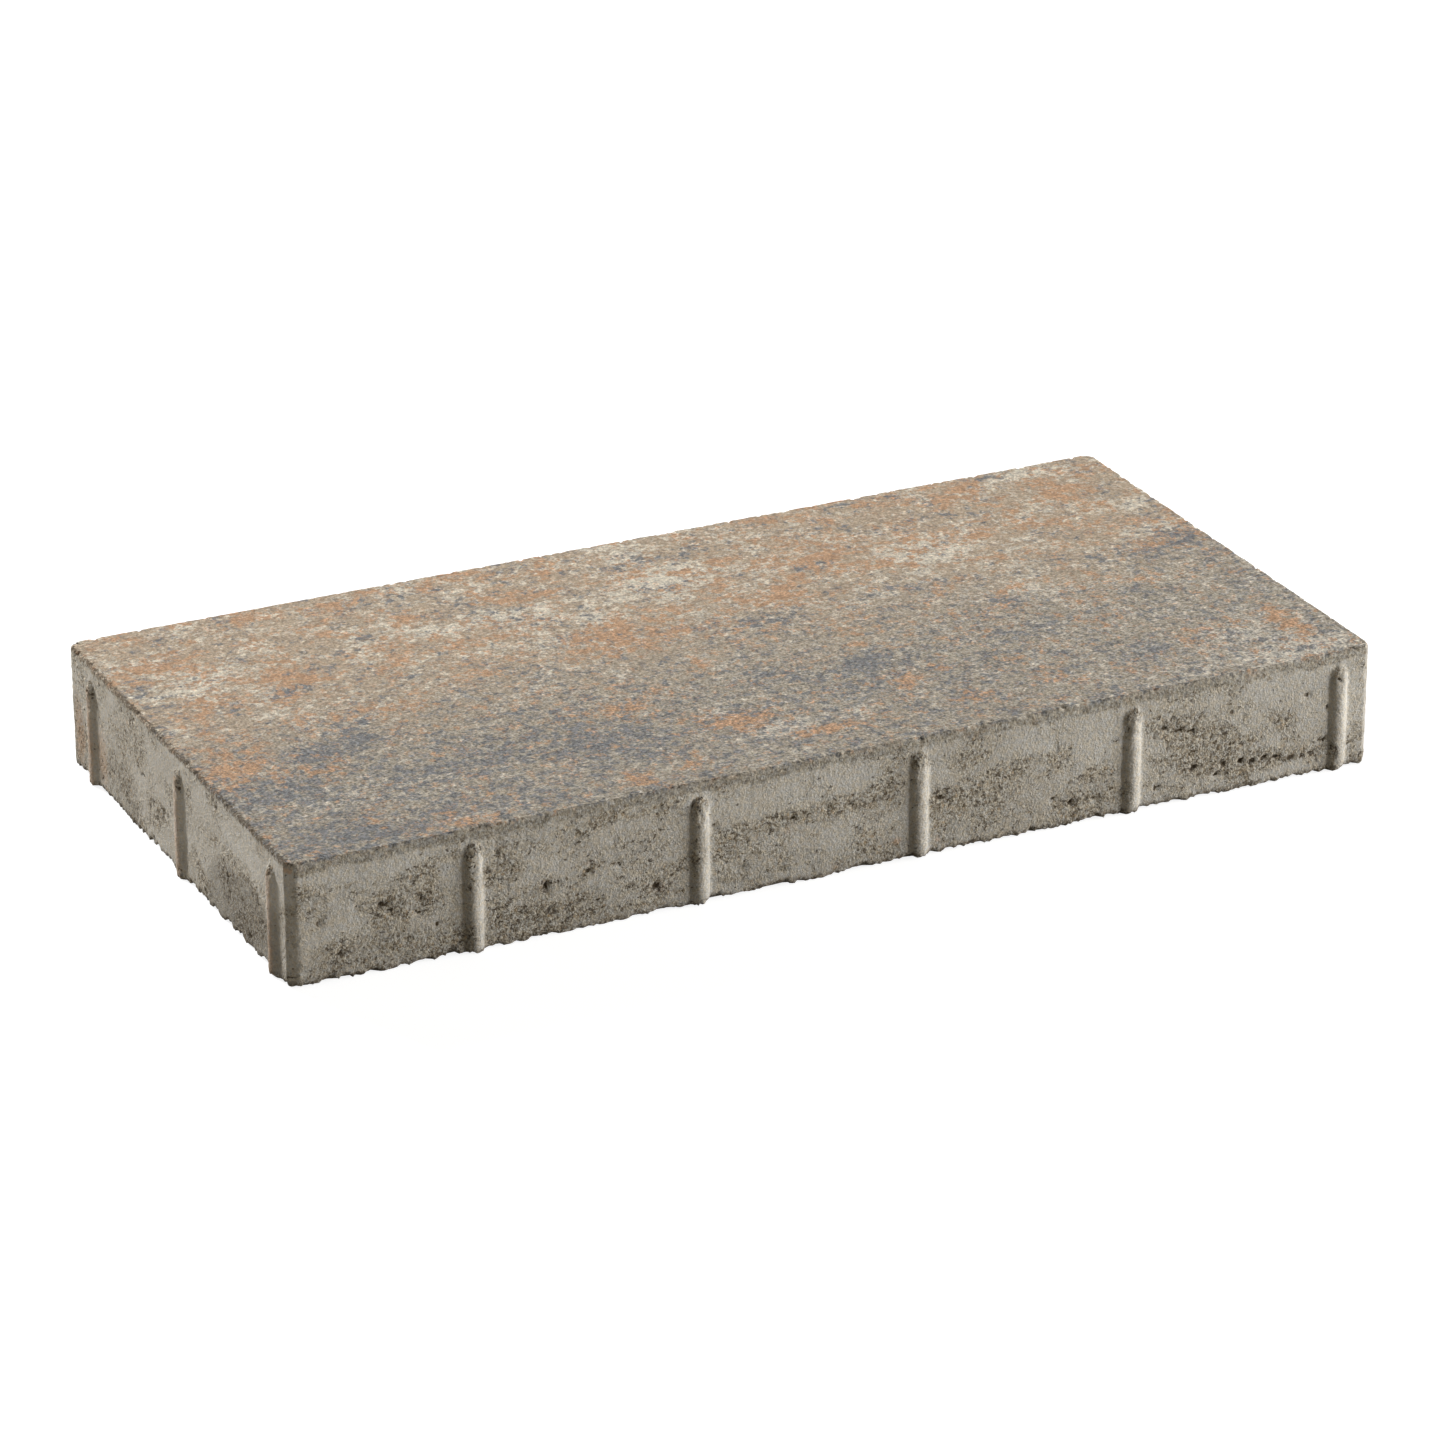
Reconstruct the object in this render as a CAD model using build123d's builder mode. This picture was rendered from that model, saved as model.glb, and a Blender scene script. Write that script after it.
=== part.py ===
from build123d import *
import os

os.makedirs("parts", exist_ok=True)

# A pressed concrete paving slab, one solid piece.
# X runs along the long side, Y along the short side, Z up through the thickness.
# The origin is the middle of the underside. All lengths are millimetres.

length = 597.0            # slab body along X, without the spacer ribs
width = 297.0             # slab body along Y, without the spacer ribs
thickness = 66.0          # underside to wearing face
corner_chamfer = 4.4      # leg of the flat on each upright corner
top_arris = 1.0           # leg of the fine bevel round the wearing face

rib_width = 10.4          # foot of a spacer rib, measured along the side face
rib_projection = 2.8      # how far a rib stands off the side face
rib_top_gap = 7.0         # wearing face down to the tip of a rib
rib_nose = 7.5            # height over which a rib fades back into the side face

long_rib_count = 5        # ribs on each long side
long_rib_pitch = 120.4    # centre to centre along a long side
long_rib_end = 19.5       # last rib centre to the nearer end of a long side
short_rib_count = 3       # ribs on each short side
short_rib_pitch = 121.5   # centre to centre along a short side
short_rib_end = 20.0      # first rib centre to the nearer end of a short side

# A rib is part of an upright round bar sunk into the side face.
rib_radius = (rib_width ** 2 / 4 + rib_projection ** 2) / (2 * rib_projection)
rib_sink = rib_radius - rib_projection
rib_tip_height = thickness - rib_top_gap
rib_shoulder_height = rib_tip_height - rib_nose

# Axis of each rib and the direction from it into the slab.
# Opposite sides carry the same row turned half round, so neighbouring slabs
# never meet rib on rib.
ribs = []
for i in range(long_rib_count):
    along = length / 2 - long_rib_end - i * long_rib_pitch
    inset = width / 2 - rib_sink
    ribs.append(((along, -inset), Vector(0, 1, 0)))
    ribs.append(((-along, inset), Vector(0, -1, 0)))
for i in range(short_rib_count):
    along = width / 2 - short_rib_end - i * short_rib_pitch
    inset = length / 2 - rib_sink
    ribs.append(((-inset, -along), Vector(1, 0, 0)))
    ribs.append(((inset, along), Vector(-1, 0, 0)))

with BuildPart() as paver:
    # Slab body with its four upright corners taken off.
    with BuildSketch() as outline:
        Rectangle(length, width)
        chamfer(outline.vertices(), length=corner_chamfer)
    extrude(amount=thickness)
    # Fine bevel round the wearing face.
    chamfer(paver.faces().sort_by(Axis.Z)[-1].edges(), length=top_arris)
    # Spacer ribs: straight from the underside, then a rounded nose that
    # narrows to a tip flush with the side face.
    for (x, y), inward in ribs:
        face_plane = Plane(origin=(x, y, 0), x_dir=inward, z_dir=inward.cross(Vector(0, 0, 1)))
        with BuildSketch(face_plane):
            with BuildLine():
                Polyline(
                    (rib_sink, rib_tip_height),
                    (0, rib_tip_height),
                    (0, 0),
                    (rib_radius, 0),
                    (rib_radius, rib_shoulder_height),
                )
                TangentArc(
                    (rib_radius, rib_shoulder_height),
                    (rib_sink, rib_tip_height),
                    tangent=(0, 1),
                )
            make_face()
        revolve(axis=Axis((x, y, 0), (0, 0, 1)))

paver.part.label = "paver"
export_step(paver.part, "parts/paver.step")
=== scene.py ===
"""A pressed concrete paving slab on a plain pale floor.

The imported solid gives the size. The slab seen here is one closed mesh of the same form with
the relief that pressing leaves: open grain, torn patches, voids and a crumbling lower edge.
Lengths are millimetres until the mesh is made, and turn into metres there.
"""
import math

import bpy
import numpy as np
from mathutils import Matrix, Vector, noise

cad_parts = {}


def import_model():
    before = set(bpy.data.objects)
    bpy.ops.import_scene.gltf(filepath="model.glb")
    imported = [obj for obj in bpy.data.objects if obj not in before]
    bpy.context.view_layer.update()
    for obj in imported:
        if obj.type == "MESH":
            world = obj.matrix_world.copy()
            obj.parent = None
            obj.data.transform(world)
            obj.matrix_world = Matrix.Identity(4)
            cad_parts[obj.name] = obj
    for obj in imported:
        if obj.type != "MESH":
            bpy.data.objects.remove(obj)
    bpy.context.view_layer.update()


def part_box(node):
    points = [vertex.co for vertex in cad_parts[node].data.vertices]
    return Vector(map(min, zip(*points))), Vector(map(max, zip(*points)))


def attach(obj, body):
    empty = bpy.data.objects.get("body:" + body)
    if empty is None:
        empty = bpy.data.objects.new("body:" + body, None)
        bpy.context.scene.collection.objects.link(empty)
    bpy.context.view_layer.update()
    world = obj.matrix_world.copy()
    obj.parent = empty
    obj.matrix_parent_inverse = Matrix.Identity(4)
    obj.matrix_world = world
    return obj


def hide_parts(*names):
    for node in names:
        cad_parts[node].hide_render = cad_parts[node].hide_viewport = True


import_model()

MM = 0.001
rng = np.random.default_rng(41)

# Form of the slab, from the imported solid's box and the sizes that its box can't give.
slab_low, slab_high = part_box("paver")
rib_projection = 2.8
rib_width = 10.4
rib_top_gap = 7.0
rib_nose = 7.5
corner_chamfer = 4.4
long_rib_count, long_rib_pitch, long_rib_end = 5, 120.4, 19.5
short_rib_count, short_rib_pitch, short_rib_end = 3, 121.5, 20.0
length = (slab_high.x - slab_low.x) / MM - 2 * rib_projection
width = (slab_high.y - slab_low.y) / MM - 2 * rib_projection
thickness = slab_high.z / MM

rib_radius = (rib_width**2 / 4 + rib_projection**2) / (2 * rib_projection)
rib_sink = rib_radius - rib_projection
rib_tip = thickness - rib_top_gap
rib_shoulder = rib_tip - rib_nose
# The nose is one arc, upright at the shoulder, that meets the side face at the tip.
nose_radius = (rib_nose**2 + rib_projection**2) / (2 * rib_projection)

# Mesh spacing.
side_step = 1.45          # along the sides, and up them
top_step = 2.9
bottom_step = 5.5
rib_steps = 12            # columns across one rib
crisp_round = 0.8         # first edge of each clipped corner, walking anticlockwise
soft_round = 5.0          # second edge
grid_inset = 4.2          # from the sides to the edge of the top and bottom grids
floor_gap = 0.15          # the lowest ring of the mesh stands this far above the floor

# Edge of the finer, coloured top layer, as it shows on the sides.
face_layer = 6.0
face_layer_left = 2.0     # on the short left side

small_void_count = 60     # over the four sides, besides the listed voids
no_rib = 99.0             # rib offset of the columns round the clipped corners


def smoothstep(low, high, value):
    t = np.clip((value - low) / (high - low), 0, 1)
    return t * t * (3 - 2 * t)


def fractal(points, size, octaves=4, shift=0.0):
    """Soft noise, about -1 to 1. Its largest lumps are size across, a number or one per axis."""
    scaled = points / np.asarray(size, float) + shift
    return np.array([noise.fractal(p, 0.6, 2.0, octaves) for p in scaled.tolist()])


# Outline of the sides, walked anticlockwise as seen from above.

def even_steps(low, high):
    """Places from low to high, about one side step apart."""
    return np.linspace(low, high, max(2, round((high - low) / side_step)) + 1)


def side_knots(ribs, start, end):
    """Places along one straight side, close together across each rib."""
    reach = math.asin(rib_width / 2 / rib_radius)
    turns = np.sin(np.linspace(-reach, reach, rib_steps + 1)) * rib_radius
    knots = []
    at = start
    for centre in sorted(ribs):
        gap_end = centre + turns[0]
        knots.extend(even_steps(at, gap_end)[:-1])
        knots.extend(centre + turns[:-1])
        at = centre + turns[-1]
    knots.extend(even_steps(at, end))
    return np.array(knots)


def outline():
    """Columns round the slab.

    Each is x, y, heading, rib offset, side number, place round the slab, run along the side.
    """
    long_ribs = [length - long_rib_end - i * long_rib_pitch for i in range(long_rib_count)]
    short_ribs = [width - short_rib_end - i * short_rib_pitch for i in range(short_rib_count)]
    sides = [(length, long_ribs), (width, short_ribs)] * 2
    crisp_leg, soft_leg = (r * math.tan(math.pi / 8) for r in (crisp_round, soft_round))
    flat = corner_chamfer * math.sqrt(2) - crisp_leg - soft_leg
    start = corner_chamfer + soft_leg
    columns = []
    here = np.array([-length / 2, -width / 2])
    for number, (side_length, ribs) in enumerate(sides):
        heading = number * math.pi / 2
        forward = np.array([math.cos(heading), math.sin(heading)])
        knots = side_knots(ribs, start, side_length - corner_chamfer - crisp_leg)
        for t in knots:
            offset = min((t - c for c in ribs), key=abs)
            place = here + forward * t
            columns.append((*place, heading, offset, number, number + t / side_length, t))
        # The clipped corner: a crisp edge, the flat, a soft edge.
        place = here + forward * knots[-1]
        run = knots[-1]
        next_side = sides[(number + 1) % 4][0]
        along_from, along_to = number + knots[-1] / side_length, number + 1 + start / next_side
        turtle = []
        for radius, distance, steps in ((crisp_round, 0, 2), (0, flat, 3), (soft_round, 0, 5)):
            for _ in range(steps):
                if radius:
                    step_turn = math.pi / 4 / steps
                    chord = 2 * radius * math.sin(step_turn / 2)
                    way = heading + step_turn / 2
                    heading += step_turn
                else:
                    chord = distance / steps
                    way = heading
                place = place + chord * np.array([math.cos(way), math.sin(way)])
                run += chord
                turtle.append((place, heading, run))
        for k, (p, h, r) in enumerate(turtle[:-1]):
            share = (k + 1) / len(turtle)
            along = along_from + share * (along_to - along_from)
            columns.append((*p, h, no_rib, number, along, r))
        here = here + forward * side_length
    return np.array(columns)


columns = outline()
plan = columns[:, 0:2]
normal = np.stack([np.sin(columns[:, 2]), -np.cos(columns[:, 2])], 1)
rib_offset = columns[:, 3]
column_along = columns[:, 5]

# Rows up the sides as (inset, height): a worn lower edge, the straight face, a fine top arris.
lower_rows = [(1.0, floor_gap), (0.35, 0.35), (0.0, 1.1)]
upper_rows = [(0.0, -1.5), (0.1, -0.95), (0.4, -0.4), (0.85, -0.1), (1.5, 0.0)]
straight = np.linspace(
    lower_rows[-1][1],
    thickness + upper_rows[0][1],
    round((thickness + upper_rows[0][1] - lower_rows[-1][1]) / side_step) + 1,
)
rows = lower_rows[:-1] + [(0.0, z) for z in straight]
rows = np.array(rows + [(i, thickness + z) for i, z in upper_rows[1:]])


def rib_bulge(offset, z):
    """How far a rib stands off the side face, at this distance from its middle and this height."""
    up = np.clip(z - rib_shoulder, 0, rib_nose)
    radius = rib_radius - nose_radius + np.sqrt(nose_radius**2 - up**2)
    radius = np.where(z > rib_tip, 0, radius)
    return np.clip(np.sqrt(np.clip(radius**2 - offset**2, 0, None)) - rib_sink, 0, None)


def zipper(outer, outer_at, inner, inner_at, upward):
    """Triangles between two closed loops of vertices, matched by their place round the slab."""
    faces = []
    i = j = 0
    count_out, count_in = len(outer), len(inner)
    while i < count_out or j < count_in:
        next_out = outer_at[(i + 1) % count_out] + (4 if i + 1 >= count_out else 0)
        next_in = inner_at[(j + 1) % count_in] + (4 if j + 1 >= count_in else 0)
        a, b = outer[i % count_out], inner[j % count_in]
        if j >= count_in or (i < count_out and next_out < next_in):
            face = (a, outer[(i + 1) % count_out], b)
            i += 1
        else:
            face = (a, inner[(j + 1) % count_in], b)
            j += 1
        faces.append(face if upward else face[::-1])
    return np.array(faces)


def flat_grid(step, z, first, upward):
    """A level grid inside the sides: vertices, quads, and its edge as a loop with its places."""
    reach_x, reach_y = length / 2 - grid_inset, width / 2 - grid_inset
    nx, ny = round(2 * reach_x / step) + 1, round(2 * reach_y / step) + 1
    xs, ys = np.linspace(-reach_x, reach_x, nx), np.linspace(-reach_y, reach_y, ny)
    gx, gy = np.meshgrid(xs, ys)
    points = np.stack([gx.ravel(), gy.ravel(), np.full(gx.size, z)], 1)
    index = first + np.arange(nx * ny).reshape(ny, nx)
    a, b, c, d = index[:-1, :-1], index[:-1, 1:], index[1:, 1:], index[1:, :-1]
    quads = np.stack([a, b, c, d] if upward else [d, c, b, a], -1).reshape(-1, 4)
    loop = np.array([*index[0, :-1], *index[:-1, -1], *index[-1, :0:-1], *index[:0:-1, 0]])
    share_x, share_y = (xs + length / 2) / length, (ys + width / 2) / width
    along = [*share_x[:-1], *(1 + share_y[:-1]), *(2 + share_x[:-1]), *(3 + share_y[:-1])]
    for corner, place in ((0, 0), (nx - 1, 1), (nx + ny - 2, 2), (2 * nx + ny - 3, 3)):
        along[corner] = place
    return points, quads, loop, along


# Base surface: wall vertices row by row, then the top grid, then the bottom grid.
column_count, row_count = len(columns), len(rows)
inset, row_z = rows[:, 0], rows[:, 1]
wall = np.zeros((row_count, column_count, 3))
wall[:, :, 0:2] = plan[None] - normal[None] * inset[:, None, None]
wall[:, :, 2] = row_z[:, None]
wall = wall.reshape(-1, 3)
wall_normal = np.tile(normal, (row_count, 1))
wall_offset = np.tile(rib_offset, row_count)
wall_inset = np.repeat(inset, column_count)
wall_index = np.arange(row_count * column_count).reshape(row_count, column_count)

top, top_quads, top_loop, top_along = flat_grid(top_step, thickness, len(wall), True)
bottom, bottom_quads, bottom_loop, bottom_along = flat_grid(
    bottom_step, floor_gap, len(wall) + len(top), False
)

ahead = np.roll(wall_index, -1, axis=1)
wall_quads = np.stack([wall_index[:-1], ahead[:-1], ahead[1:], wall_index[1:]], -1).reshape(-1, 4)
top_band = zipper(wall_index[-1], column_along, top_loop, top_along, True)
bottom_band = zipper(wall_index[0], column_along, bottom_loop, bottom_along, False)

points = np.concatenate([wall, top, bottom])
flat_points = points.copy()
on_wall = np.arange(len(points)) < len(wall)
on_top = ~on_wall & (np.arange(len(points)) < len(wall) + len(top))

# Places on the faces that the photograph shows, measured from the near left corner:
# x along the long side, y back from it, z up. These turn mesh points into them.
place_x = points[:, 0] + length / 2
place_y = points[:, 1] + width / 2

# Pigment in the wearing face. Each patch is (x, y, reach along x, reach along y, strength).
cream_patches = [
    (313, 240, 26, 13, 1.6), (44, 222, 26, 12, 0.9), (160, 228, 48, 9, 0.6),
    (233, 224, 9, 10, 0.7), (265, 222, 26, 16, 0.5), (450, 212, 26, 18, 1.1),
    (563, 227, 26, 10, 0.7), (561, 284, 14, 7, 0.9), (577, 187, 10, 7, 0.6),
    (56, 284, 14, 6, 0.6), (260, 67, 6, 8, 1.4), (280, 41, 15, 8, 2.0),
    (548, 44, 20, 13, 0.9), (480, 140, 16, 9, 0.5), (75, 147, 9, 12, 0.6),
    (195, 228, 20, 10, 0.7), (325, 43, 8, 8, 0.8), (400, 170, 10, 10, 0.5),
    (60, 60, 40, 14, 0.4), (560, 13, 34, 10, 1.7), (500, 30, 40, 20, 0.3),
    (330, 285, 30, 8, 0.4),
]
orange_patches = [
    (20, 118, 18, 18, 1.4), (86, 192, 26, 13, 0.5), (248, 180, 30, 17, 0.8),
    (25, 250, 14, 16, 0.6), (200, 210, 14, 7, 0.5), (216, 96, 17, 9, 1.0),
    (265, 57, 20, 10, 1.0), (303, 30, 19, 5, 1.5), (97, 9, 11, 6, 1.1),
    (222, 20, 6, 4, 1.3), (190, 15, 8, 6, 0.9), (361, 68, 9, 10, 1.1),
    (391, 212, 22, 6, 0.8), (418, 240, 26, 12, 0.7), (557, 259, 10, 7, 0.7),
    (532, 182, 16, 6, 0.6), (488, 94, 10, 8, 0.6), (574, 45, 8, 20, 1.2),
    (530, 55, 22, 14, 0.5), (386, 32, 14, 6, 0.6), (352, 187, 16, 10, 0.6),
    (533, 132, 14, 5, 0.6), (320, 244, 7, 4, 1.5), (125, 200, 22, 8, 0.4),
    (380, 285, 40, 8, 0.4), (505, 276, 16, 8, 0.5), (60, 100, 14, 8, 0.3),
    (470, 225, 30, 10, 0.4), (330, 200, 40, 10, 0.3),
]
grey_patches = [
    (96, 210, 14, 6, 1.0), (58, 187, 18, 6, 0.8), (9, 215, 9, 22, 0.7),
    (86, 192, 14, 8, 0.8), (248, 182, 20, 8, 0.4), (262, 58, 14, 8, 0.5),
    (88, 126, 12, 12, 0.8), (62, 115, 12, 10, 0.7), (302, 225, 9, 5, 0.8),
    (348, 226, 6, 7, 0.7), (383, 221, 10, 5, 0.7), (582, 170, 10, 13, 1.4),
    (554, 163, 13, 12, 0.8), (328, 170, 34, 13, 0.4), (196, 62, 36, 18, 0.5),
    (338, 67, 15, 11, 0.5), (354, 95, 26, 10, 0.6), (305, 98, 16, 5, 0.6),
    (385, 50, 18, 18, 0.2), (468, 132, 26, 8, 0.45), (424, 168, 15, 6, 0.6),
    (576, 102, 11, 30, 0.3), (490, 45, 11, 9, 0.8), (140, 75, 40, 20, 0.3),
    (215, 220, 14, 10, 0.5), (440, 95, 30, 12, 0.2), (30, 80, 30, 14, 0.4),
    (105, 15, 60, 8, 0.3), (40, 20, 40, 16, 0.25), (170, 280, 30, 8, 0.3),
]


def pigment(patches):
    """Strength of one pigment at every point, from its listed patches."""
    total = np.zeros(len(points))
    for x, y, reach_x, reach_y, strength in patches:
        away = ((place_x - x) / reach_x) ** 2 + ((place_y - y) / reach_y) ** 2
        total += strength * np.exp(-0.7 * away**1.2)
    return total


# The back of the slab is warm and light, the front grey, and lighter towards its right end.
warmth = smoothstep(78, 212, place_y + 16 * fractal(points, 80, 3, 3.1) - 0.02 * place_x)
lighter = np.clip(place_x / length, 0, 1) * (1 - warmth)
cream = pigment(cream_patches) + 0.35 * lighter
orange = pigment(orange_patches)
grey = pigment(grey_patches) + 0.3 * (1 - place_x / length) * (1 - warmth)

# Sides. Patches are (side, along, z, reach along, reach z, strength): side 0 is the long
# front, measured from the near corner, and side 3 the short left, likewise.
torn_patches = [
    (0, 49, 34, 9, 8, 0.8), (0, 57, 27, 8, 5, 0.6), (0, 69, 33, 4, 6, 0.6),
    (0, 8, 50, 5, 5, 0.6), (0, 36, 37, 5, 4, 0.5), (0, 78, 54, 7, 2, 0.7),
    (0, 52, 57, 4, 2, 0.6), (0, 30, 14, 26, 10, 0.3), (0, 110, 44, 14, 9, 0.6),
    (0, 135, 28, 6, 5, 0.7), (0, 157, 31, 8, 5, 0.7), (0, 165, 55, 10, 4, 0.4),
    (0, 192, 16, 12, 10, 0.7), (0, 150, 10, 50, 9, 0.3), (0, 106, 20, 6, 8, 0.5),
    (0, 262, 37, 22, 5, 0.6), (0, 292, 38, 12, 5, 0.6), (0, 245, 14, 20, 10, 0.3),
    (0, 277, 53, 10, 4, 0.4), (0, 322, 42, 8, 10, 0.6), (0, 349, 31, 9, 6, 0.8),
    (0, 366, 25, 12, 6, 0.4), (0, 372, 39, 12, 5, 0.4), (0, 388, 33, 10, 7, 0.5),
    (0, 404, 36, 14, 8, 0.4), (0, 425, 13, 22, 5, 0.7), (0, 480, 42, 16, 6, 0.8),
    (0, 505, 28, 18, 12, 0.8), (0, 540, 14, 34, 3, 0.9), (0, 539, 35, 12, 7, 0.5),
    (0, 497, 17, 14, 5, 0.6), (0, 440, 30, 10, 14, 0.3), (3, 62, 17, 34, 19, 0.7),
    (3, 226, 16, 22, 17, 0.5), (3, 282, 22, 10, 22, 0.4), (3, 208, 44, 22, 9, 0.5),
    (3, 175, 22, 24, 12, 0.5), (3, 120, 12, 26, 8, 0.4), (3, 185, 56, 20, 4, 0.4),
    (3, 90, 44, 20, 8, 0.3),
]
smooth_patches = [
    (0, 40, 56, 36, 4, 0.6), (0, 84, 44, 8, 12, 0.5), (0, 24, 30, 14, 6, 0.4),
    (0, 205, 40, 8, 16, 0.4), (0, 230, 47, 12, 8, 0.3), (0, 310, 50, 18, 6, 0.4),
    (0, 328, 25, 8, 12, 0.3), (0, 400, 50, 24, 6, 0.4), (0, 436, 42, 12, 10, 0.5),
    (0, 560, 40, 10, 18, 0.5), (0, 540, 52, 20, 5, 0.4), (0, 545, 5, 26, 3, 0.6),
    (3, 50, 50, 34, 6, 0.5), (3, 110, 50, 18, 8, 0.5), (3, 165, 50, 24, 6, 0.4),
    (3, 110, 28, 10, 10, 0.3),
]
# Darker places: damper-looking ones, and strips just left of two front ribs; the last two are the
# whole right and back sides, darkened as painted shade because the main lamp falls strongly on
# them from behind. And then ones tinted by the coloured layer.
dark_patches = [
    (3, 80, 6, 26, 28, 0.8), (3, 50, 8, 29, 28, 0.9), (3, 19, 8, 8, 30, 0.6),
    (3, 226, 8, 24, 26, 0.35), (3, 286, 12, 14, 28, 0.5), (3, 8, 30, 8, 40, 0.1),
    (0, 150, 14, 32, 13, 0.2), (0, 60, 8, 60, 12, 0.15), (0, 290, 6, 90, 10, 0.15),
    (0, 86, 34, 5, 24, 0.15), (0, 324, 30, 7, 30, 0.2), (1, 148, 33, 600, 300, 0.3),
    (2, 298, 33, 900, 300, 0.4),
]
tan_patches = [
    (3, 283, 22, 9, 22, 0.8), (3, 250, 20, 9, 20, 0.7), (0, 324, 12, 3.5, 2.5, 0.9),
    (0, 194, 14, 5, 5, 0.5), (0, 264, 30, 3, 3, 0.6), (0, 1, 64, 3, 4, 1.0),
    (3, 1, 64, 2, 4, 1.0), (0, 347, 8, 2, 2, 0.8), (0, 290, 5, 4, 3, 0.5),
    (0, 156, 35, 3, 2, 0.5),
]
normal_x, normal_y = wall_normal[:, 0], wall_normal[:, 1]
wall_x, wall_y, wall_z = place_x[on_wall], place_y[on_wall], wall[:, 2]
facings = [normal_y < -0.7, normal_x > 0.7, normal_y > 0.7, normal_x < -0.7]


def side_patches(patches, edge_noise=None):
    """Sum of patches on the sides, each soft, or with an edge that noise makes ragged."""
    total = np.zeros(len(wall))
    for side, along, z, reach_along, reach_z, strength in patches:
        place = wall_x if side % 2 == 0 else wall_y
        away = ((place - along) / reach_along) ** 2 + ((wall_z - z) / reach_z) ** 2
        if edge_noise is None:
            share = np.exp(-(away**1.5))
        else:
            share = smoothstep(1.35, 0.8, away + 0.3 * edge_noise)
        total += np.where(facings[side], strength * share, 0)
    return total


bulge = rib_bulge(wall_offset, wall_z)
near_rib = smoothstep(10, 4, abs(wall_offset))
lying = np.array([1.5, 1.5, 1.0])
mottle = fractal(wall, 15 * lying, 4, 11.0)
broad = fractal(wall, 55 * lying, 2, 5.0)
torn = 0.45 + 0.42 * mottle + 0.2 * broad + 0.06 * smoothstep(28, 3, wall_z)
torn += 0.6 * side_patches(torn_patches) - 0.8 * side_patches(smooth_patches) - 0.35 * near_rib
torn += 0.3 * smoothstep(0.05, 0.5, bulge) * smoothstep(0.5, -2.5, wall_offset)
torn += 0.8 * smoothstep(0.2, 1.0, bulge) * smoothstep(rib_shoulder - 4, rib_shoulder + 4, wall_z)
torn = smoothstep(-0.1, 1.1, torn)

layer = np.where(normal_x < -0.5, face_layer_left, face_layer)
layer_edge = thickness - layer + 2.1 * fractal(wall, 11, 4, 2.0)
band = smoothstep(layer_edge - 1.3, layer_edge + 1.3, wall_z)
torn = torn * (1 - band) + 0.55 * band

# Voids: (side, along, z, reach along, reach z, depth).
voids = [
    (0, 133.4, 27.4, 1.9, 2.6, 2.2), (0, 140, 28, 2.0, 2.2, 0.9),
    (0, 156.5, 30.5, 2.1, 1.4, 1.5), (0, 49, 35, 2.6, 1.6, 2.2), (0, 53, 31.5, 2.6, 1.4, 1.6),
    (0, 56, 28, 2.0, 1.2, 1.2), (0, 36, 37, 1.6, 1.4, 1.2), (0, 69, 34, 1.2, 2.6, 1.4),
    (0, 192, 15, 3.2, 1.6, 1.6), (0, 348, 30.5, 3.4, 2.2, 1.6), (0, 353, 29, 2.0, 1.6, 1.5),
    (0, 267, 36, 2.4, 1.4, 1.4), (0, 286, 38, 2.2, 1.6, 1.3), (0, 299, 37, 2.0, 1.4, 1.2),
    (0, 476, 43, 2.8, 1.4, 1.5), (0, 484, 40, 3.6, 1.2, 1.8), (0, 490, 38.5, 2.6, 1.2, 1.5),
    (0, 492, 18, 3.2, 1.8, 1.8), (0, 504, 32, 3.0, 1.2, 1.4), (0, 506, 11, 3.0, 1.4, 2.0),
    (0, 512, 16, 3.0, 1.6, 1.8), (0, 521, 15.5, 2.6, 1.8, 2.2), (0, 527, 14.5, 2.4, 2.0, 2.4),
    (0, 535, 15, 2.6, 1.8, 2.2), (0, 541, 14, 2.8, 1.6, 2.2), (0, 551, 12, 2.2, 1.2, 1.6),
    (0, 557, 11.5, 2.6, 1.2, 2.0), (0, 563, 12, 2.8, 1.0, 1.8), (0, 472.5, 11, 2.4, 1.2, 1.4),
    (0, 422, 13, 2.6, 1.3, 1.8), (0, 412, 17, 2.2, 1.4, 1.2), (0, 437, 12, 2.4, 1.2, 1.5),
    (3, 203, 60, 2.6, 1.2, 1.2), (3, 192, 34, 4.5, 1.0, 1.2), (3, 163, 26, 2.4, 1.4, 1.4),
    (3, 240, 33, 4.0, 1.0, 1.0),
]
for _ in range(small_void_count):
    side = int(rng.integers(0, 4))
    side_length = width if side % 2 else length
    reach = rng.uniform(0.9, 1.9)
    at = rng.uniform(6, side_length - 6)
    up = thickness * rng.beta(1.0, 1.5) * 0.9 + 1
    reach_along = reach * rng.uniform(1.0, 1.7)
    voids.append((side, at, up, reach_along, reach, reach * rng.uniform(0.4, 0.7)))

ragged = 0.8 * fractal(wall, 2.8, 3, 7.0)
void_depth = np.zeros(len(wall))
for side in range(4):
    found = np.flatnonzero(facings[side])
    along, z = (wall_x if side % 2 == 0 else wall_y)[found], wall_z[found]
    for _, at, up, reach_along, reach_z, depth in (v for v in voids if v[0] == side):
        near = np.flatnonzero((abs(along - at) < 2 * reach_along) & (abs(z - up) < 2 * reach_z))
        away = ((along[near] - at) / reach_along) ** 2 + ((z[near] - up) / reach_z) ** 2
        bowl = depth * smoothstep(1.3, 0.2, np.sqrt(away) + ragged[found[near]])
        void_depth[found[near]] = np.maximum(void_depth[found[near]], bowl)

# Ragged pits where the surface is torn open.
pit_noise = fractal(wall, 4.0, 4, 14.0)
open_pits = smoothstep(0.42, 0.85, pit_noise) * smoothstep(0.35, 0.85, torn) * (1 - 0.6 * band)
void_depth = np.maximum(void_depth, 0.9 * open_pits)

# The rib tips are rough and broken.
tip_share = smoothstep(rib_shoulder - 16, rib_shoulder - 1, wall_z) * smoothstep(0.02, 0.5, bulge)
tip_pits = smoothstep(0.05, 0.5, fractal(wall, 2.8, 3, 17.0)) * tip_share
void_depth = np.maximum(void_depth, 0.95 * tip_pits)

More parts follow.
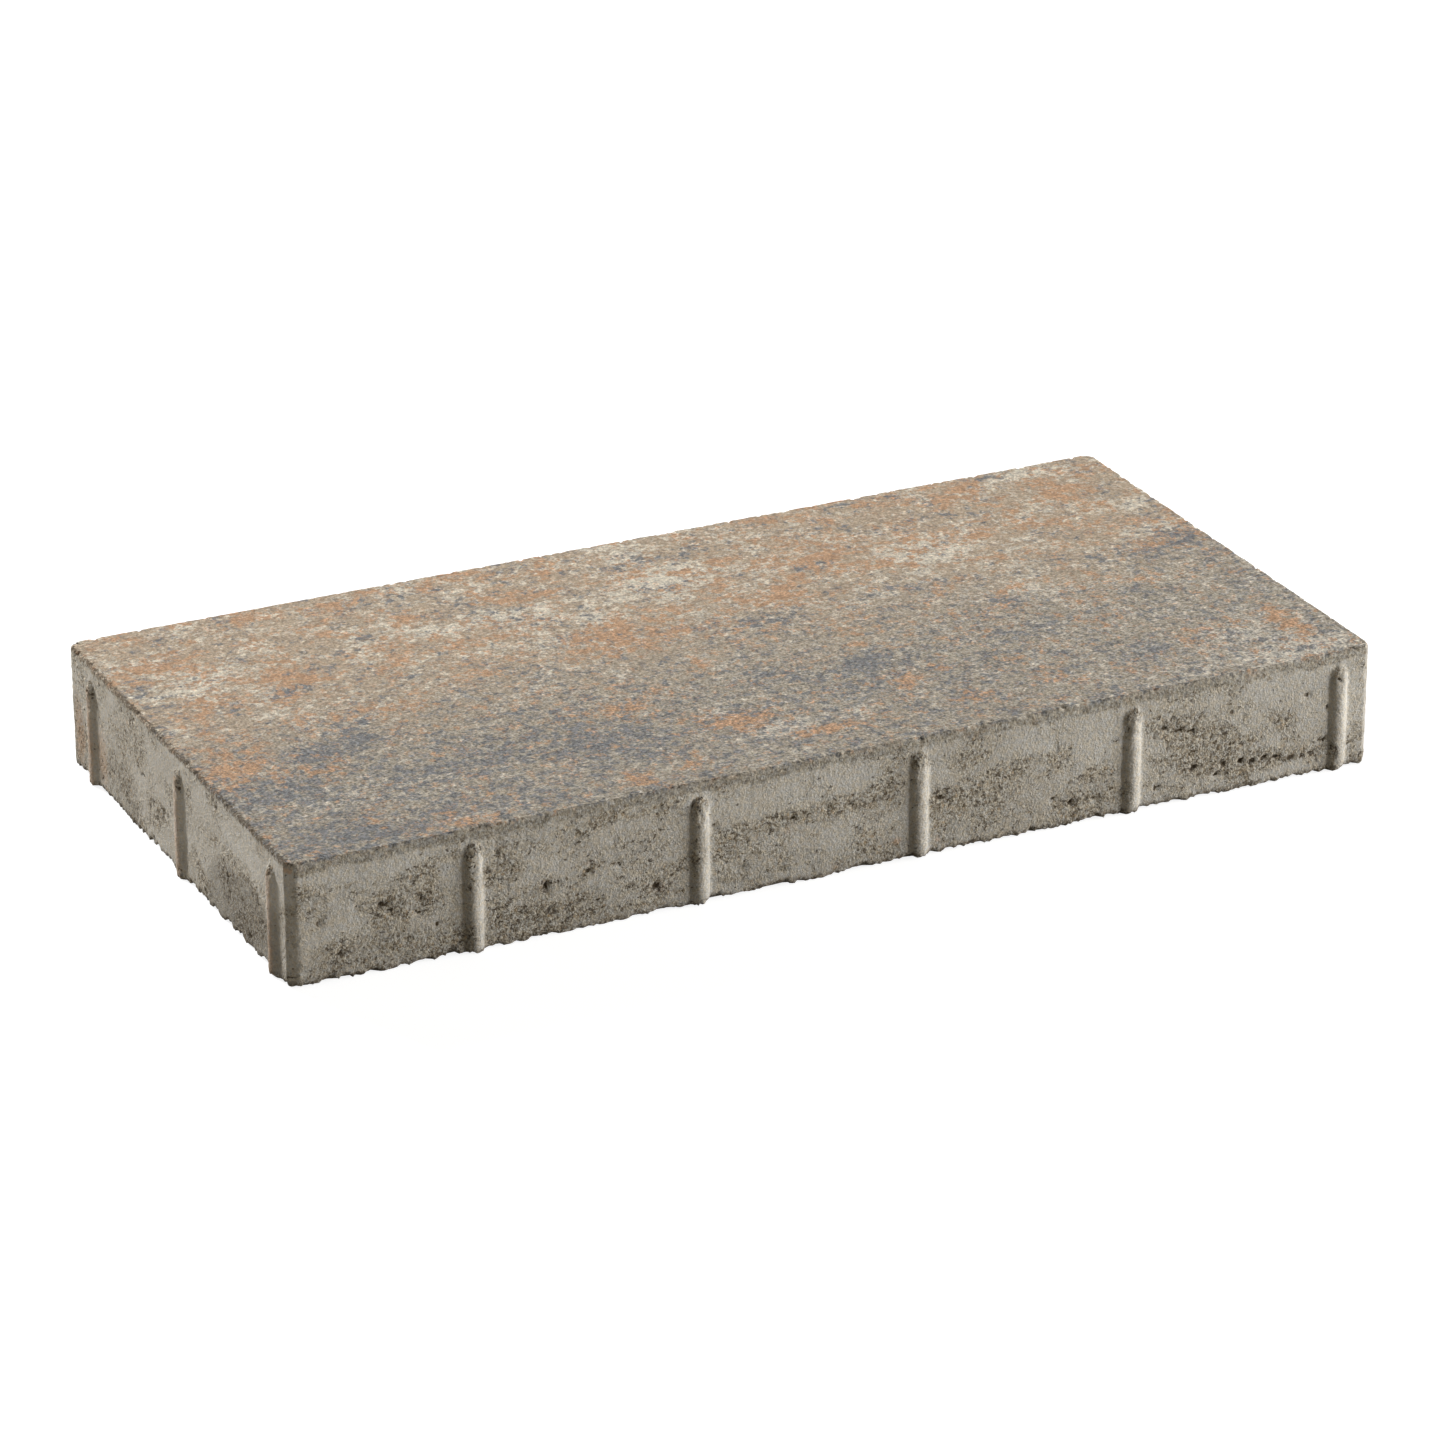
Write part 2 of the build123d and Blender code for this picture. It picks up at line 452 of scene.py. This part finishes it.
swell = fractal(wall, 60, 2, 9.0)
fine = fractal(wall, 3.2, 3, 1.0)
relief = 0.16 * swell - 0.16 + fine * (0.18 + 0.18 * torn) - 0.12 * torn
relief -= void_depth + 0.15 * (bulge > 0.1)

# Crumbling lower edge: crumbs left standing and bites taken out between them.
round_slab = wall * (1, 1, 0)
slow_edge = fractal(round_slab, 26, 4, 20.0)
crumbs = fractal(round_slab, 5.0, 4, 21.0)
teeth = np.tile(rng.normal(0, 0.2, column_count), row_count)
bite = np.clip(1.1 + 1.2 * slow_edge + 1.7 * crumbs + teeth, 0.0, 3.6)
lift = bite * smoothstep(9, 0, wall_z) ** 1.5
relief -= 0.5 * smoothstep(4, 0, wall_z) * (0.6 + crumbs)

# Top arris: a sandy edge with small chips, closer together along the short left side.
left_side = smoothstep(-0.5, -0.9, normal_x)
chips = fractal(round_slab, 3.4, 3, 31.0)
chip = np.clip(chips - 0.22 + 0.14 * left_side, 0, None) * 1.7 + 0.16 * (1 + chips)
high_share = smoothstep(thickness - 2.6, thickness - 0.3, wall_z)
relief -= chip * high_share
drop = 0.9 * chip * high_share

inward = np.interp(wall_inset, [0.3, 1.5], [1.0, 0.7])
shift = np.minimum(bulge + relief * inward, np.where(bulge > 0, rib_projection - 0.1, 0.15))
points[on_wall, 0:2] += wall_normal[:, 0:2] * shift[:, None]
points[on_wall, 2] = np.clip(wall_z + lift - drop, 0.0, thickness - 0.02)

# Wearing face: nearly flat, with a faint swell and sandy grain.
top_relief = 0.1 * fractal(top, 55, 2, 40.0) + 0.11 * fractal(top, 9, 4, 41.0)
points[on_top, 2] = thickness - 0.3 + np.clip(top_relief, -0.5, 0.28)
points[wall_index[-1], 2] -= 0.25

# Underside: open and slightly hollowed, its outer ring following the crumbling edge.
under = ~(on_wall | on_top)
points[under, 2] = np.clip(0.45 + 0.3 * fractal(bottom, 30, 4, 50.0), 0, 2)


def over_all(values, elsewhere=0.0):
    """Wall values widened to every point."""
    full = np.full(len(points), float(elsewhere))
    full[on_wall] = values
    return full


def unfold(mesh):
    """One flat map without overlaps: top, four sides as strips, and the underside smaller."""
    scale, edge = 1 / 675, 0.008
    under_scale = 0.4
    strip = (thickness + 4) * scale
    sides_at = 2 * edge + width * scale
    row_run = np.concatenate([[0], np.cumsum(np.hypot(np.diff(inset), np.diff(row_z)))])
    corners = [(edge, sides_at), (edge, sides_at + 2 * strip), (edge, sides_at + strip),
               (edge + 0.5, sides_at + 2 * strip)]
    number, run = columns[:, 4].astype(int), columns[:, 6]
    step = np.linalg.norm(np.roll(plan, -1, axis=0) - plan, axis=1)
    corner_u, corner_v = np.array(corners)[number].T
    u_here = np.tile(corner_u + run * scale, (row_count - 1, 1))
    u_next = u_here + step * scale
    v_low = corner_v + row_run[:-1, None] * scale
    v_high = corner_v + row_run[1:, None] * scale
    walls = np.stack([u_here, v_low, u_next, v_low, u_next, v_high, u_here, v_high], -1)
    walls = walls.reshape(-1, 2)

    def from_above(faces, factor, u, v):
        place = (flat_points[faces.ravel(), 0:2] + (length / 2, width / 2)) * scale * factor
        return place + (u, v)

    under_at = sides_at + 3 * strip
    pieces = [walls] + [from_above(f, 1.0, edge, edge) for f in (top_quads, top_band)]
    pieces += [from_above(f, under_scale, edge, under_at) for f in (bottom_quads, bottom_band)]
    layer = mesh.uv_layers.new(name="OFBake")
    layer.uv.foreach_set("vector", np.concatenate(pieces).astype(np.float32).ravel())


def build_slab():
    # What the underside has of the foot's open grain, the torn patches and the dark places.
    under_foot, under_torn, under_dark = 0.25, 0.6, 0.25
    mesh = bpy.data.meshes.new("paver_slab")
    parts = (wall_quads, top_quads, top_band, bottom_quads, bottom_band)
    faces = [face for part in parts for face in part.tolist()]
    mesh.from_pydata((points * MM).tolist(), [], faces)
    mesh.shade_smooth()
    unfold(mesh)
    wearing = np.where(on_top, 1.0, 0.0)
    wearing[on_wall] = smoothstep(thickness - 2.0, thickness - 0.5, wall_z)
    rib_crest = smoothstep(1.2, 2.6, bulge) * np.clip(left_side + 0.3 * (normal_x > 0.7), 0, 1)
    arris = smoothstep(thickness - 5.2, thickness - 1.0, wall_z) * (0.16 + 0.84 * left_side)
    # Rib crests on the long front: a lighter pressed skin, and a painted highlight kept to the
    # right flank of each rib, where the front-right lamp falls.
    pressed_skin_and_highlight = smoothstep(0.7, 2.0, bulge) * smoothstep(rib_tip - 2, rib_shoulder, wall_z)
    pressed_skin_and_highlight *= smoothstep(-2.5, 0.5, wall_offset)
    attributes = {
        "arris": over_all(arris),
        "pressed_skin_and_highlight": over_all(pressed_skin_and_highlight * smoothstep(0.6, 0.8, -normal_y)),
        "foot": over_all(smoothstep(4.6, 0.8, wall_z), under_foot),
        "cream": cream,
        "orange": orange,
        "grey": grey,
        "warmth": warmth,
        "wearing": wearing,
        "torn": over_all(torn, under_torn),
        "hollow": over_all(np.clip(void_depth / 1.3, 0, 1)),
        "band": over_all(band),
        "dark": over_all(np.clip(side_patches(dark_patches, mottle), 0, 1), under_dark),
        "tan": over_all(side_patches(tan_patches) + 0.7 * rib_crest),
    }
    for name, values in attributes.items():
        attribute = mesh.attributes.new(name, "FLOAT", "POINT")
        attribute.data.foreach_set("value", values.astype(np.float32))
    made = bpy.data.objects.new("paver_slab", mesh)
    bpy.context.scene.collection.objects.link(made)
    return made


class Shader:
    """Adds nodes to one material: values given as sockets are linked, and others are set."""

    def __init__(self, name):
        self.material = bpy.data.materials.new(name)
        self.material.use_nodes = True
        self.tree = self.material.node_tree
        self.tree.nodes.clear()

    def add(self, kind, inputs=None, **settings):
        node = self.tree.nodes.new(kind)
        for key, value in settings.items():
            setattr(node, key, value)
        for key, value in (inputs or {}).items():
            if isinstance(value, bpy.types.NodeSocket):
                self.tree.links.new(value, node.inputs[key])
            else:
                node.inputs[key].default_value = value
        return node

    def math(self, operation, *values):
        return self.add("ShaderNodeMath", dict(enumerate(values)), operation=operation).outputs[0]

    def ease(self, value, low, high):
        """0 at low, 1 at high, eased between them."""
        inputs = {"Value": value, "From Min": low, "From Max": high}
        node = self.add("ShaderNodeMapRange", inputs, interpolation_type="SMOOTHSTEP")
        return node.outputs["Result"]

    def spread(self, mean, *parts):
        """mean plus gain times how far each part's value is from one half."""
        total = self.math("SUBTRACT", mean, sum(gain for _, gain in parts) / 2)
        for value, gain in parts:
            total = self.math("MULTIPLY_ADD", value, gain, total)
        return total

    def mix(self, share, a, b, blend="MIX"):
        inputs = {0: share, 6: a, 7: b}
        return self.add("ShaderNodeMix", inputs, data_type="RGBA", blend_type=blend).outputs[2]

    def scaled(self, colour, factor):
        """A colour made brighter or darker by a factor."""
        node = self.add("ShaderNodeVectorMath", {0: colour, "Scale": factor}, operation="SCALE")
        return node.outputs[0]

    def attribute(self, name):
        return self.add("ShaderNodeAttribute", attribute_name=name).outputs["Fac"]


def srgb(red, green, blue):
    """A colour given in a picture's 0 to 255 values, as the linear one that a shader takes."""
    def linear(value):
        value /= 255
        return value / 12.92 if value <= 0.04045 else ((value + 0.055) / 1.055) ** 2.4
    return (linear(red), linear(green), linear(blue), 1.0)


def concrete():
    s = Shader("pressed_concrete")
    place = s.add("ShaderNodeTexCoord").outputs["Object"]
    height = s.add("ShaderNodeSeparateXYZ", {"Vector": place}).outputs["Z"]

    def moved(shift, stretch=(1, 1, 1)):
        """Places on the slab, shifted so that no two textures line up."""
        location = (shift, shift * 0.7, shift * 0.3)
        inputs = {"Vector": place, "Location": location, "Scale": stretch}
        return s.add("ShaderNodeMapping", inputs).outputs[0]

    def clouds(size, detail, roughness, shift, stretch=(1, 1, 1)):
        """Soft noise round one half, its largest lumps this many millimetres across."""
        inputs = {
            "Vector": moved(shift, stretch),
            "Scale": 1 / (size * MM),
            "Detail": detail,
            "Roughness": roughness,
        }
        return s.add("ShaderNodeTexNoise", inputs).outputs["Fac"]

    def grains(size, shift):
        """Packed grains of this size: three random values, and the distance from the middle."""
        node = s.add("ShaderNodeTexVoronoi", {"Vector": moved(shift), "Scale": 1 / (size * MM)})
        values = s.add("ShaderNodeSeparateColor", {"Color": node.outputs["Color"]}).outputs
        return values[0], values[1], values[2], node.outputs["Distance"]

    # Wearing face: three pigments scattered by grain over a ground that warms towards the back.
    drawn_out = (0.82, 1.0, 1.0)
    sand = grains(1.7, 0.31)
    flakes = grains(3.3, 0.77)
    glint = clouds(1.5, 3.0, 0.75, 2.2)
    warm = s.attribute("warmth")
    ground = s.mix(warm, srgb(167, 158, 143), srgb(181, 164, 143))

    def pigment_share(name, front, back, gain, shift, sand_value, flake_value):
        """Share of one pigment, from the front of the face to its back, varied by gain."""
        patch_gain = 0.33
        base = s.math("MULTIPLY_ADD", warm, back - front, front)
        local = s.math("MULTIPLY_ADD", s.attribute(name), patch_gain, base)
        cloud = clouds(20, 5.0, 0.72, shift, drawn_out)
        swing = s.math("MULTIPLY_ADD", warm, gain * 0.55, gain * 0.48)
        local = s.math("MULTIPLY_ADD", s.math("SUBTRACT", cloud, 0.5), swing, local)
        fine = clouds(6.0, 3.0, 0.75, shift + 0.5)
        total = s.spread(local, (fine, 1.8), (sand_value, 0.14), (flake_value, 0.22))
        return s.ease(total, 0.32, 0.72)

    cream_share = pigment_share("cream", 0.27, 0.38, 1.6, 1.3, sand[0], flakes[1])
    orange_share = pigment_share("orange", 0.26, 0.345, 2.2, 5.9, sand[1], flakes[2])
    grey_share = pigment_share("grey", 0.38, 0.265, 1.45, 9.1, sand[2], flakes[0])
    face = s.mix(cream_share, ground, s.mix(warm, srgb(200, 193, 180), srgb(216, 208, 192)))
    face = s.mix(grey_share, face, s.mix(warm, srgb(129, 130, 131), srgb(126, 127, 129)))
    face = s.mix(orange_share, face, srgb(190, 155, 125))
    # Each grain of the face lighter or darker: partly its own tone, partly painted shading and
    # glints, lighter where the same noise raises the sand.
    grain_tone_and_glint_gain = s.math("MULTIPLY_ADD", warm, -1.3, 3.2)
    face = s.scaled(face, s.math("MULTIPLY_ADD", s.math("SUBTRACT", glint, 0.5), grain_tone_and_glint_gain, 1.0))
    face = s.scaled(face, s.spread(1.03, (clouds(2.8, 3.0, 0.7, 15.1), 1.5)))
    # Painted shade: dark specks where pinholes would hold shade, with no hollow in the relief.
    pinhole_shade = s.ease(clouds(2.1, 2.0, 0.5, 3.7), 0.27, 0.22)
    face = s.mix(s.math("MULTIPLY", pinhole_shade, 0.7), face, srgb(70, 64, 58))

    # Body: a smooth pale cement skin, and darker open grain where it is torn.
    flattened = (0.62, 0.62, 1.0)
    grit = grains(1.4, 0.13)
    coarse = clouds(7, 4.0, 0.77, 3.3, flattened)
    crumble = clouds(2.0, 3.0, 0.72, 6.1)
    fleck = clouds(1.1, 3.0, 0.78, 4.4)
    torn = s.attribute("torn")
    open_share = s.ease(s.spread(torn, (coarse, 1.8), (crumble, 1.4)), 0.1, 0.9)
    tone = clouds(30, 3.0, 0.6, 7.7, flattened)
    skin = s.mix(s.ease(tone, 0.32, 0.68), srgb(190, 184, 173), srgb(204, 199, 189))
    skin = s.scaled(skin, s.spread(1.0, (fleck, 0.7), (crumble, 0.7)))
    grit_tone = s.ease(s.spread(0.5, (grit[0], 0.5), (fleck, 2.2), (crumble, 2.4)), 0.0, 1.0)
    rough = s.mix(grit_tone, srgb(130, 118, 100), srgb(216, 209, 195))
    # Painted highlights: pale specks on the open grain, standing for lit crumbs.
    crumb_highlights = s.math("MULTIPLY", s.ease(fleck, 0.6, 0.7), 0.7)
    rough = s.mix(crumb_highlights, rough, srgb(232, 226, 212))
    body = s.mix(open_share, skin, rough)
    # The rib crests' lighter pressed skin, with its painted highlight on the lamp side.
    pressed_skin_and_highlight = s.attribute("pressed_skin_and_highlight")
    body = s.mix(s.math("MULTIPLY", pressed_skin_and_highlight, 0.8), body, s.scaled(skin, 1.2))
    sandy = s.math("MULTIPLY", s.ease(grit[1], 0.95, 0.97), s.ease(torn, 0.3, 0.8))
    body = s.mix(s.math("MULTIPLY", sandy, 0.5), body, srgb(196, 170, 136))
    # Darker towards the bottom of the sides and in the damp places, and painted shade over the
    # whole right and back sides.
    low = s.ease(s.spread(height, (coarse, 24 * MM)), 34 * MM, -10 * MM)
    damp_and_shade = s.math("MULTIPLY_ADD", s.attribute("dark"), 0.85, s.math("MULTIPLY", low, 0.24))
    body = s.mix(damp_and_shade, body, s.scaled(body, 0.62))
    body = s.mix(s.math("MULTIPLY", damp_and_shade, 0.07), body, srgb(128, 110, 87))
    tinted = s.ease(s.spread(s.attribute("tan"), (crumble, 1.0), (coarse, 0.6)), 0.2, 1.0)
    body = s.mix(s.math("MULTIPLY", tinted, 0.5), body, srgb(196, 158, 125))

    # Pits and the voids of the mesh, darkened as painted shade in the hollows, and the dark open
    # grain at the foot.
    pit_noise = clouds(2.6, 3.0, 0.66, 8.8)
    pit_limit = s.math("MULTIPLY_ADD", open_share, 0.095, 0.324)
    pits = s.ease(s.math("SUBTRACT", pit_limit, pit_noise), -0.004, 0.02)
    pits = s.math("MULTIPLY", pits, s.math("MULTIPLY_ADD", pressed_skin_and_highlight, -0.8, 1.0))
    foot = s.math("MULTIPLY", s.attribute("foot"), s.ease(crumble, 0.59, 0.45))
    pit_shade_and_foot = s.math("MAXIMUM", s.math("MULTIPLY", pits, 0.8), s.math("MULTIPLY", foot, 0.85))
    hollow = s.spread(s.attribute("hollow"), (fleck, 0.8), (crumble, 1.4))
    pit_shade_and_foot = s.math("MAXIMUM", pit_shade_and_foot, s.ease(hollow, 0.5, 0.8))
    body = s.mix(pit_shade_and_foot, body, srgb(86, 75, 60))

    # The edge of the coloured layer shows under the arris as a darker, sandy band.
    band = s.ease(s.spread(s.attribute("band"), (crumble, 0.8), (fleck, 0.5)), 0.3, 0.75)
    dust_tone = s.ease(s.spread(0.5, (sand[0], 0.6), (glint, 2.4)), 0.0, 1.0)
    dusty = s.mix(dust_tone, srgb(122, 114, 100), srgb(200, 194, 181))
    body = s.mix(s.math("MULTIPLY", band, 0.8), body, s.mix(0.25, dusty, face))
    flat = s.attribute("wearing")
    colour = s.mix(flat, body, face)
    # A darker, broken line along the top edge of the sides, strongest along the short left side.
    dark_arris_line = s.ease(s.spread(s.attribute("arris"), (crumble, 3.2), (fleck, 1.8)), 0.6, 1.1)
    colour = s.mix(s.math("MULTIPLY", dark_arris_line, 0.8), colour, srgb(92, 80, 64))
    hue = s.ease(clouds(1.7, 2.0, 0.7, 12.3), 0.36, 0.64)
    tint = s.mix(hue, (0.965, 1.0, 1.06, 1.0), (1.045, 1.0, 0.92, 1.0))
    tint_share = s.math("MULTIPLY_ADD", flat, -0.6, 1.0)
    colour = s.mix(tint_share, colour, tint, "MULTIPLY")

    # Fine relief: sand on the wearing face, coarser grit and pits where the sides are torn.
    sand_height = s.spread(0.0, (glint, 1.8), (sand[3], -0.6))
    side_grit = s.spread(0.0, (fleck, 1.4), (crumble, 1.4), (grit[3], -0.3))
    grit_gain = s.math("MULTIPLY_ADD", open_share, 0.7, 0.5)
    sunk = s.math("MULTIPLY", pits, -1.9)
    side_height = s.math("MULTIPLY_ADD", side_grit, grit_gain, sunk)
    difference = s.math("SUBTRACT", sand_height, side_height)
    relief = s.math("MULTIPLY_ADD", flat, difference, side_height)
    bump = s.add("ShaderNodeBump", {"Strength": 1.0, "Distance": 0.75 * MM, "Height": relief})
    surface = s.add("ShaderNodeBsdfPrincipled", {
        "Base Color": colour,
        "Roughness": 0.93,
        "Specular IOR Level": 0.25,
        "Normal": bump.outputs[0],
    })
    s.add("ShaderNodeOutputMaterial", {"Surface": surface.outputs[0]})
    return s.material


slab = build_slab()
slab.data.materials.append(concrete())
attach(slab, "root")
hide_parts("paver")


# Floor: a warm grey to the slab's own bounce light, white to the camera with a faint shadow.
def floor_material():
    s = Shader("pale_floor")
    lit = s.add("ShaderNodeBsdfDiffuse", {"Color": srgb(160, 155, 145)})
    white = s.add("ShaderNodeBsdfDiffuse", {"Color": srgb(168, 168, 168)})
    glow = s.add("ShaderNodeEmission", {"Color": (1, 1, 1, 1), "Strength": 0.86})
    both = s.add("ShaderNodeAddShader", {0: white.outputs[0], 1: glow.outputs[0]})
    ray = s.add("ShaderNodeLightPath")
    seen = s.math("MAXIMUM", ray.outputs["Is Camera Ray"], ray.outputs["Is Glossy Ray"])
    chosen = s.add("ShaderNodeMixShader", {0: seen, 1: lit.outputs[0], 2: both.outputs[0]})
    s.add("ShaderNodeOutputMaterial", {"Surface": chosen.outputs[0]})
    return s.material


def floor():
    reach = 30.0
    corners = [(-reach, -reach, 0), (reach, -reach, 0), (reach, reach, 0), (-reach, reach, 0)]
    mesh = bpy.data.meshes.new("floor")
    mesh.from_pydata(corners, [], [(0, 1, 2, 3)])
    mesh.materials.append(floor_material())
    ground = bpy.data.objects.new("floor", mesh)
    bpy.context.scene.collection.objects.link(ground)


ambient_level = 0.16
ambient_colour = (1.0, 0.94, 0.84, 1.0)


def world():
    made = bpy.data.worlds.new("studio")
    made.use_nodes = True
    tree = made.node_tree
    tree.nodes.clear()
    ambient = tree.nodes.new("ShaderNodeBackground")
    ambient.inputs["Color"].default_value = ambient_colour
    ambient.inputs["Strength"].default_value = ambient_level
    backdrop = tree.nodes.new("ShaderNodeBackground")
    backdrop.inputs["Color"].default_value = (1, 1, 1, 1)
    ray = tree.nodes.new("ShaderNodeLightPath")
    chosen = tree.nodes.new("ShaderNodeMixShader")
    out = tree.nodes.new("ShaderNodeOutputWorld")
    tree.links.new(ray.outputs["Is Camera Ray"], chosen.inputs[0])
    tree.links.new(ambient.outputs[0], chosen.inputs[1])
    tree.links.new(backdrop.outputs[0], chosen.inputs[2])
    tree.links.new(chosen.outputs[0], out.inputs["Surface"])
    bpy.context.scene.world = made


def direction(azimuth, elevation):
    """Unit vector towards a place round the slab: azimuth 0 faces the long front, 90 the right."""
    a, e = math.radians(azimuth), math.radians(elevation)
    return Vector((math.sin(a) * math.cos(e), -math.cos(a) * math.cos(e), math.sin(e)))


def lamp(name, azimuth, elevation, level, across, tall, distance):
    """An upright soft light aimed at the slab. Level is how brightly it lights what faces it."""
    data = bpy.data.lights.new(name, "AREA")
    data.shape = "RECTANGLE"
    data.size = across
    data.size_y = tall
    # Each facing area gets pi times level, at which it shows its own colour times level.
    data.energy = level * math.pi * distance**2 * math.pi
    made = bpy.data.objects.new(name, data)
    towards = direction(azimuth, elevation)
    made.location = Vector((0, 0, thickness / 2 * MM)) + towards * distance
    made.rotation_euler = towards.to_track_quat("Z", "Y").to_euler()
    bpy.context.scene.collection.objects.link(made)


world()
floor()
lamp("key_back_left", 203, 26, 1.34, 0.6, 1.4, 4.0)
lamp("fill_left", 252, 12, 0.07, 2.0, 1.2, 4.0)
lamp("front_right", 66, 10, 1.22, 2.0, 1.2, 4.0)

# Camera: the photograph's own view of the slab, a long lens low over the near left corner.
view_azimuth, view_elevation, view_roll = -25.81, 23.97, -0.157
view_distance = 3.1122
view_target = Vector((1.0, 1.5, 22.5)) * MM
lens_per_frame = 6065.2 / 1440


def camera():
    data = bpy.data.cameras.new("camera")
    data.sensor_width = 36.0
    data.lens = lens_per_frame * data.sensor_width
    made = bpy.data.objects.new("camera", data)
    back = direction(view_azimuth, view_elevation)
    made.matrix_world = (
        Matrix.Translation(view_target + back * view_distance)
        @ back.to_track_quat("Z", "Y").to_matrix().to_4x4()
        @ Matrix.Rotation(math.radians(view_roll), 4, "Z")
    )
    bpy.context.scene.collection.objects.link(made)
    bpy.context.scene.camera = made


camera()
bpy.context.scene.view_settings.view_transform = "Standard"
